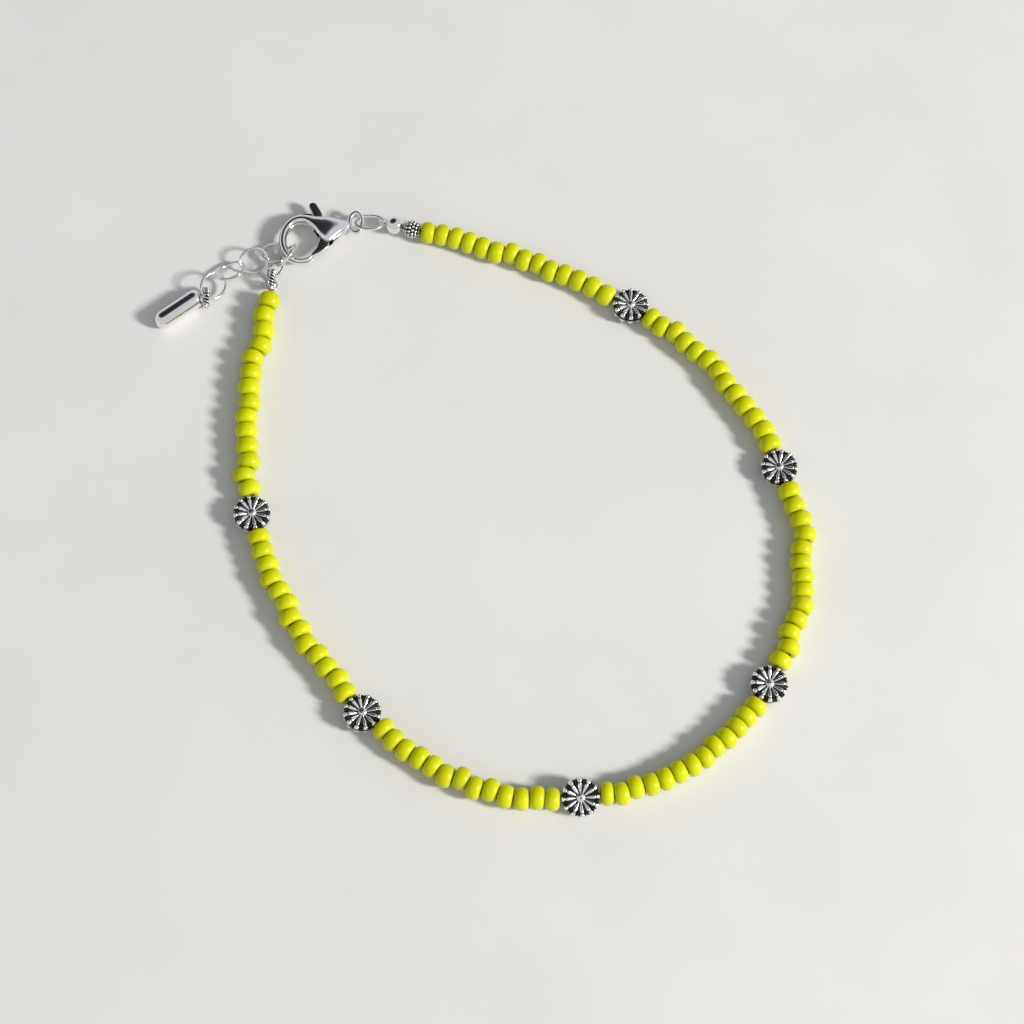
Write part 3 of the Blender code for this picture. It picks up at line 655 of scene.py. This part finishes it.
def build_strand_start(route):
    """Granulated bead and round bead tip with its loop."""
    place, direction = route.at(-(PIECE_GAP + GRANULATED_LENGTH / 2))
    here = Matrix.Translation(place) @ turn_toward(direction)
    shape = Shape()
    core = GRANULATED_CORE
    shape.skin(ball_loops(2 * core, 1.95 * MM, 20, 32), 0.05, matrix=here)
    for k, (latitude, count) in enumerate(GRAIN_ROWS):
        lat = math.radians(latitude)
        for i in range(count):
            around = 2 * math.pi * (i + 0.5 * (k % 2)) / count
            spot = Vector((
                math.sin(lat) * 1.03 * core,
                math.cos(lat) * math.cos(around) * core,
                math.cos(lat) * math.sin(around) * core,
            ))
            size = GRAIN_RADIUS * (1 + float(RNG.uniform(-0.06, 0.06)))
            local = here @ Matrix.Translation(spot)
            loops = ball_loops(2 * size, 2 * size, 8, 12)
            normal = spot.normalized()
            tones = []
            for loop in loops:
                tones.append([0.35 + 0.65 * max(0.0, Vector(p).dot(normal) / size) for p in loop])
            shape.skin(loops, tones, matrix=local)
    mesh = shape.mesh("granulated_cast", 60.0)
    add_piece("granulated_cast", mesh, ANTIQUED, ["granulated_bead"])

    place, direction = route.at(-(2 * PIECE_GAP + GRANULATED_LENGTH + TIP_DIAMETER / 2))
    turn = turn_toward(direction)
    shape = Shape()
    here = Matrix.Translation(place) @ turn
    shape.skin(ball_loops(TIP_DIAMETER, TIP_DIAMETER, 28, 40), 0.9, matrix=here)
    loop_place = place - direction * TIP_LOOP_REACH
    loops = oval_loops(1.4 * MM, 1.4 * MM, 0.34 * MM, 40, 14)
    upright = Matrix.Translation(loop_place) @ turn @ Matrix.Rotation(math.pi / 2, 4, "X")
    shape.skin(loops, 0.8, closed=True, matrix=upright)
    shape.skin(lathe_loops(in_metres(TIP_COLLAR), 24), 0.5, matrix=here)
    mesh = shape.mesh("bead_tip_ball", 60.0)
    add_piece("bead_tip_ball", mesh, POLISHED, ["bead_tip"])
    return loop_place


# The clasp, the rings and the drop.


def spline_rows(rows, steps):
    """Catmull-Rom rows through the given ones."""
    rows = [np.array(row, float) for row in rows]
    made = []
    for i in range(len(rows) - 1):
        a = rows[max(i - 1, 0)]
        b, c = rows[i], rows[i + 1]
        d = rows[min(i + 2, len(rows) - 1)]
        for k in range(steps):
            t = k / steps
            bend = (2 * a - 5 * b + 4 * c - d) * t**2 + (3 * b - a - 3 * c + d) * t**3
            made.append(0.5 * (2 * b + (c - a) * t + bend))
    made.append(rows[-1])
    return made


# Half of the clasp's cross-section, from its outer edge over the dome to its inner edge: how far
# across, how high and how bright. The dark tones at the dome's foot, where it rises from the
# flange, are painted shade in that crease.
DOME = (
    (1.0, 0.0, 0.8), (1.0, 0.22, 0.9), (0.97, 0.34, 0.95), (0.90, 0.38, 0.95), (0.84, 0.36, 0.5),
    (0.80, 0.42, 0.12), (0.76, 0.56, 0.3), (0.66, 0.72, 0.8), (0.46, 0.88, 0.9), (0.22, 0.97, 0.95),
    (0.0, 1.0, 0.95), (-0.22, 0.97, 0.95), (-0.46, 0.88, 0.9), (-0.64, 0.72, 0.8), (-0.74, 0.56, 0.3),
    (-0.78, 0.42, 0.12), (-0.83, 0.37, 0.5), (-0.90, 0.39, 0.95), (-0.97, 0.34, 0.95), (-1.0, 0.2, 0.9),
    (-1.0, 0.0, 0.8),
)


def clasp_body_shape():
    shape = Shape()
    loops = []
    tones = []
    section = list(DOME) + [(c, -s, tone) for c, s, tone in reversed(DOME[1:-1])]
    for outer_x, outer_y, inner_x, inner_y, share in spline_rows(CLASP_SECTIONS, 7):
        outer = Vector((outer_x * CLASP_LENGTH, outer_y * CLASP_WIDTH))
        inner = Vector((inner_x * CLASP_LENGTH, inner_y * CLASP_WIDTH))
        middle = (outer + inner) / 2
        half = (outer - inner) / 2
        loop = []
        for c, s, _ in section:
            point = middle + half * c
            loop.append((point.x, point.y, s * CLASP_THICKNESS * share / 2))
        loops.append(loop)
        # The tones carry the painted shade in the crease at the dome's foot.
        tones.append([tone for _, _, tone in section])
    shape.skin(loops, tones)
    return shape


def prism_mesh(name, outline, thickness):
    shape = Shape()
    loops = []
    for z in (-thickness / 2, thickness / 2):
        loops.append([(x * CLASP_LENGTH, y * CLASP_WIDTH, z) for x, y in outline])
    shape.skin(loops, 0.7)
    return shape.mesh(name, 30.0)


def temp_object(name, mesh, matrix):
    thing = bpy.data.objects.new(name, mesh)
    bpy.context.scene.collection.objects.link(thing)
    thing.matrix_world = matrix
    return thing


def applied(thing):
    """The object's mesh with its modifiers applied and its place in its points."""
    bpy.context.view_layer.update()
    graph = bpy.context.evaluated_depsgraph_get()
    mesh = bpy.data.meshes.new_from_object(thing.evaluated_get(graph))
    mesh.transform(thing.matrix_world)
    return mesh


def build_clasp():
    here = Matrix.Translation(clasp_neck()) @ turn_z(CLASP_HEADING)
    body = temp_object("cast", clasp_body_shape().mesh("cast", 60.0), here)
    slot = temp_object("slot", prism_mesh("slot", SLOT_OUTLINE, 1.05 * MM), here)
    cut = body.modifiers.new("slot", "BOOLEAN")
    cut.operation = "DIFFERENCE"
    cut.solver = "EXACT"
    cut.object = slot
    bevel = body.modifiers.new("edge", "BEVEL")
    bevel.width = 0.05 * MM
    bevel.segments = 2
    bevel.limit_method = "ANGLE"
    bevel.angle_limit = math.radians(50)
    mesh = applied(body)
    for thing in (body, slot):
        bpy.data.objects.remove(thing)

    extras = Shape()
    pivot = Vector((PIVOT[0] * CLASP_LENGTH, PIVOT[1] * CLASP_WIDTH, 0))
    upright = here @ Matrix.Translation(pivot) @ Matrix.Rotation(math.pi / 2, 4, "Y")
    extras.skin(lathe_loops(in_metres(PIN_PROFILE), 28), 0.6, matrix=upright)
    tail_loops = oval_loops(3.4 * MM, 2.3 * MM, 0.6 * MM, 64, 18)
    tail = Matrix.Translation(tail_ring_place()) @ turn_z(90.0)
    tail = tail @ Matrix.Rotation(-math.radians(TAIL_RING_TILT), 4, "Y")
    extras.skin(tail_loops, 0.85, closed=True, matrix=tail)
    work = bmesh.new()
    work.from_mesh(mesh)
    work.from_mesh(extras.mesh("extras", 60.0))
    work.to_mesh(mesh)
    work.free()
    mesh.shade_smooth()
    mesh.set_sharp_from_angle(angle=math.radians(40))
    add_piece("clasp_cast", mesh, POLISHED, ["clasp_body"])

    lever = temp_object("lever_plate", prism_mesh("lever_plate", LEVER_OUTLINE, 0.85 * MM), here)
    bevel = lever.modifiers.new("edge", "BEVEL")
    bevel.width = 0.16 * MM
    bevel.segments = 4
    mesh = applied(lever)
    bpy.data.objects.remove(lever)
    mesh.shade_smooth()
    mesh.set_sharp_from_angle(angle=math.radians(35))
    add_piece("clasp_lever_plate", mesh, POLISHED, ["clasp_lever"], body="lever")


def twist_shape(length, width, wire, turns, matrix):
    """Two wires twisted together and bent into an oval, sizes in millimetres."""
    shape = Shape()
    thin = wire / 4 * MM
    long_radius = (length - wire) / 2 * MM
    short_radius = (width - wire) / 2 * MM
    segments = turns * 24
    for strand in range(2):
        loops = []
        tones = []
        for i in range(segments):
            angle = 2 * math.pi * i / segments
            wind = turns * angle + math.pi * strand
            run, rise = math.cos(angle), math.sin(angle)
            outward = Vector((short_radius * run, long_radius * rise, 0)).normalized()
            away = outward * math.cos(wind) + Vector((0, 0, math.sin(wind)))
            centre = Vector((long_radius * run, short_radius * rise, 0)) + away * thin
            loop = []
            loop_tones = []
            for c, s in circle(thin, 10, wind):
                loop.append(centre + outward * c + Vector((0, 0, s)))
                facing = (c * math.cos(wind) + s * math.sin(wind)) / thin
                loop_tones.append(0.5 + 0.5 * facing)
            loops.append(loop)
            tones.append(loop_tones)
        shape.skin(loops, tones, closed=True, matrix=matrix)
    return shape


def build_rings(loop_place):
    for name, (place, length, width, wire) in RINGS.items():
        shape = Shape()
        loops = oval_loops(length * MM, width * MM, wire * MM, 80, 16, gap_degrees=1.2)
        shape.skin(loops, 0.85, matrix=place_matrix(place))
        add_piece(name + "_wire", shape.mesh(name + "_wire", 60.0), POLISHED, [name])

    shape = Shape()
    length, width, wire = CLASP_RING
    span = loop_place - tail_ring_place()
    centre = loop_place - span.normalized() * (length - wire) / 2 * MM
    turn = turn_toward(span) @ Matrix.Rotation(-math.asin(span.z / span.length), 4, "Y")
    turn = turn @ Matrix.Rotation(math.radians(CLASP_RING_ROLL), 4, "X")
    loops = oval_loops(length * MM, width * MM, wire * MM, 80, 16, gap_degrees=1.2)
    shape.skin(loops, 0.85, matrix=Matrix.Translation(centre) @ turn)
    mesh = shape.mesh("clasp_ring_wire", 60.0)
    add_piece("clasp_ring_wire", mesh, POLISHED, ["clasp_ring"])

    for name, (place, length, width, wire, turns) in TWISTS.items():
        mesh = twist_shape(length, width, wire, turns, place_matrix(place)).mesh(name + "_twist", 60.0)
        add_piece(name + "_twist", mesh, ANTIQUED, [name])


def build_drop():
    eye = place_matrix(DROP_EYE_PLACE)
    heading = DROP_EYE_PLACE[3]
    eye_size, eye_wire = DROP_EYE
    radius = DROP_RADIUS * MM
    straight = DROP_LENGTH / 2 * MM - radius
    reach = (DROP_LENGTH / 2 + eye_size / 2 - eye_wire) * MM
    centre = eye.translation - heading_vector(heading) * reach
    centre.z = radius
    profile = []
    for i in range(1, 13):
        angle = math.pi / 2 * (i / 12)
        profile.append((-straight - radius * math.cos(angle), radius * math.sin(angle)))
    profile = [(-straight - radius, 0.01 * MM)] + profile
    profile += [(-along, size) for along, size in reversed(profile)]
    shape = Shape()
    body = Matrix.Translation(centre) @ turn_z(heading)
    shape.skin(lathe_loops(profile, 48), 0.9, matrix=body)
    shape.skin(lathe_loops(in_metres(DROP_COLLAR), 24), 0.5, matrix=body)
    loops = oval_loops(eye_size * MM, eye_size * MM, eye_wire * MM, 48, 14)
    shape.skin(loops, 0.85, closed=True, matrix=eye)
    mesh = shape.mesh("capsule_drop_polished", 60.0)
    add_piece("capsule_drop_polished", mesh, POLISHED, ["capsule_drop"])


# The stage.


def area_light(name, place, target, size, power, colour=(1, 1, 1)):
    data = bpy.data.lights.new(name, "AREA")
    data.shape = "RECTANGLE"
    data.size, data.size_y = size
    data.energy = power
    data.color = colour
    light = bpy.data.objects.new(name, data)
    bpy.context.scene.collection.objects.link(light)
    light.location = place
    light.rotation_euler = (Vector(target) - Vector(place)).to_track_quat("-Z", "Y").to_euler()


def build_stage():
    mesh = bpy.data.meshes.new("floor")
    size = 3.0
    corners = [(-size, -size, 0), (size, -size, 0), (size, size, 0), (-size, size, 0)]
    mesh.from_pydata(corners, [], [(0, 1, 2, 3)])
    floor = bpy.data.objects.new("floor", mesh)
    bpy.context.scene.collection.objects.link(floor)
    floor.location.z = -0.02 * MM
    material, tree, shader = new_material("floor")
    coordinates = node(tree, "ShaderNodeTexCoord").outputs["Object"]
    cloud = noise(tree, coordinates, 40.0, 4.0)
    colour = ramp(tree, cloud, ((0.3, (0.70, 0.69, 0.67)), (0.7, (0.74, 0.73, 0.71))))
    tree.links.new(colour, shader.inputs["Base Color"])
    shader.inputs["Roughness"].default_value = 0.75
    mesh.materials.append(material)

    area_light("key", (1.2, -0.44, 0.80), (0, 0, 0), (0.24, 0.24), 27.0, (1.0, 0.98, 0.95))
    world = bpy.data.worlds.new("studio")
    bpy.context.scene.world = world
    world.use_nodes = True
    tree = world.node_tree
    direction = node(tree, "ShaderNodeTexCoord").outputs["Generated"]
    axis = {0: direction, 1: (-0.32, 0.50, 0.805)}
    toward = node(tree, "ShaderNodeVectorMath", axis, operation="DOT_PRODUCT")
    sky = ramp(tree, toward.outputs["Value"], (
        (0.0, (0.60, 0.60, 0.60)), (0.55, (0.58, 0.59, 0.61)), (0.71, (0.62, 0.67, 0.76)),
        (0.86, (0.05, 0.05, 0.055)), (1.0, (0.02, 0.02, 0.022)),
    ))
    tree.links.new(sky, tree.nodes["Background"].inputs["Color"])
    bpy.context.scene.view_settings.view_transform = "Standard"


def build_camera():
    data = bpy.data.cameras.new("camera")
    data.sensor_width = 36.0
    data.lens = 90.2
    data.clip_start = 0.01
    data.clip_end = 10.0
    camera = bpy.data.objects.new("camera", data)
    bpy.context.scene.collection.objects.link(camera)
    camera.location = plan_point(0.0, -132.1, 303.9 * MM)
    camera.rotation_euler = (math.radians(23.5), 0, 0)
    bpy.context.scene.camera = camera


def main():
    route = Route()
    build_camera()
    build_stage()
    build_strand(route)
    build_daisies(route)
    loop_place = build_strand_start(route)
    build_clasp()
    build_rings(loop_place)
    build_drop()
    bpy.context.view_layer.update()


main()
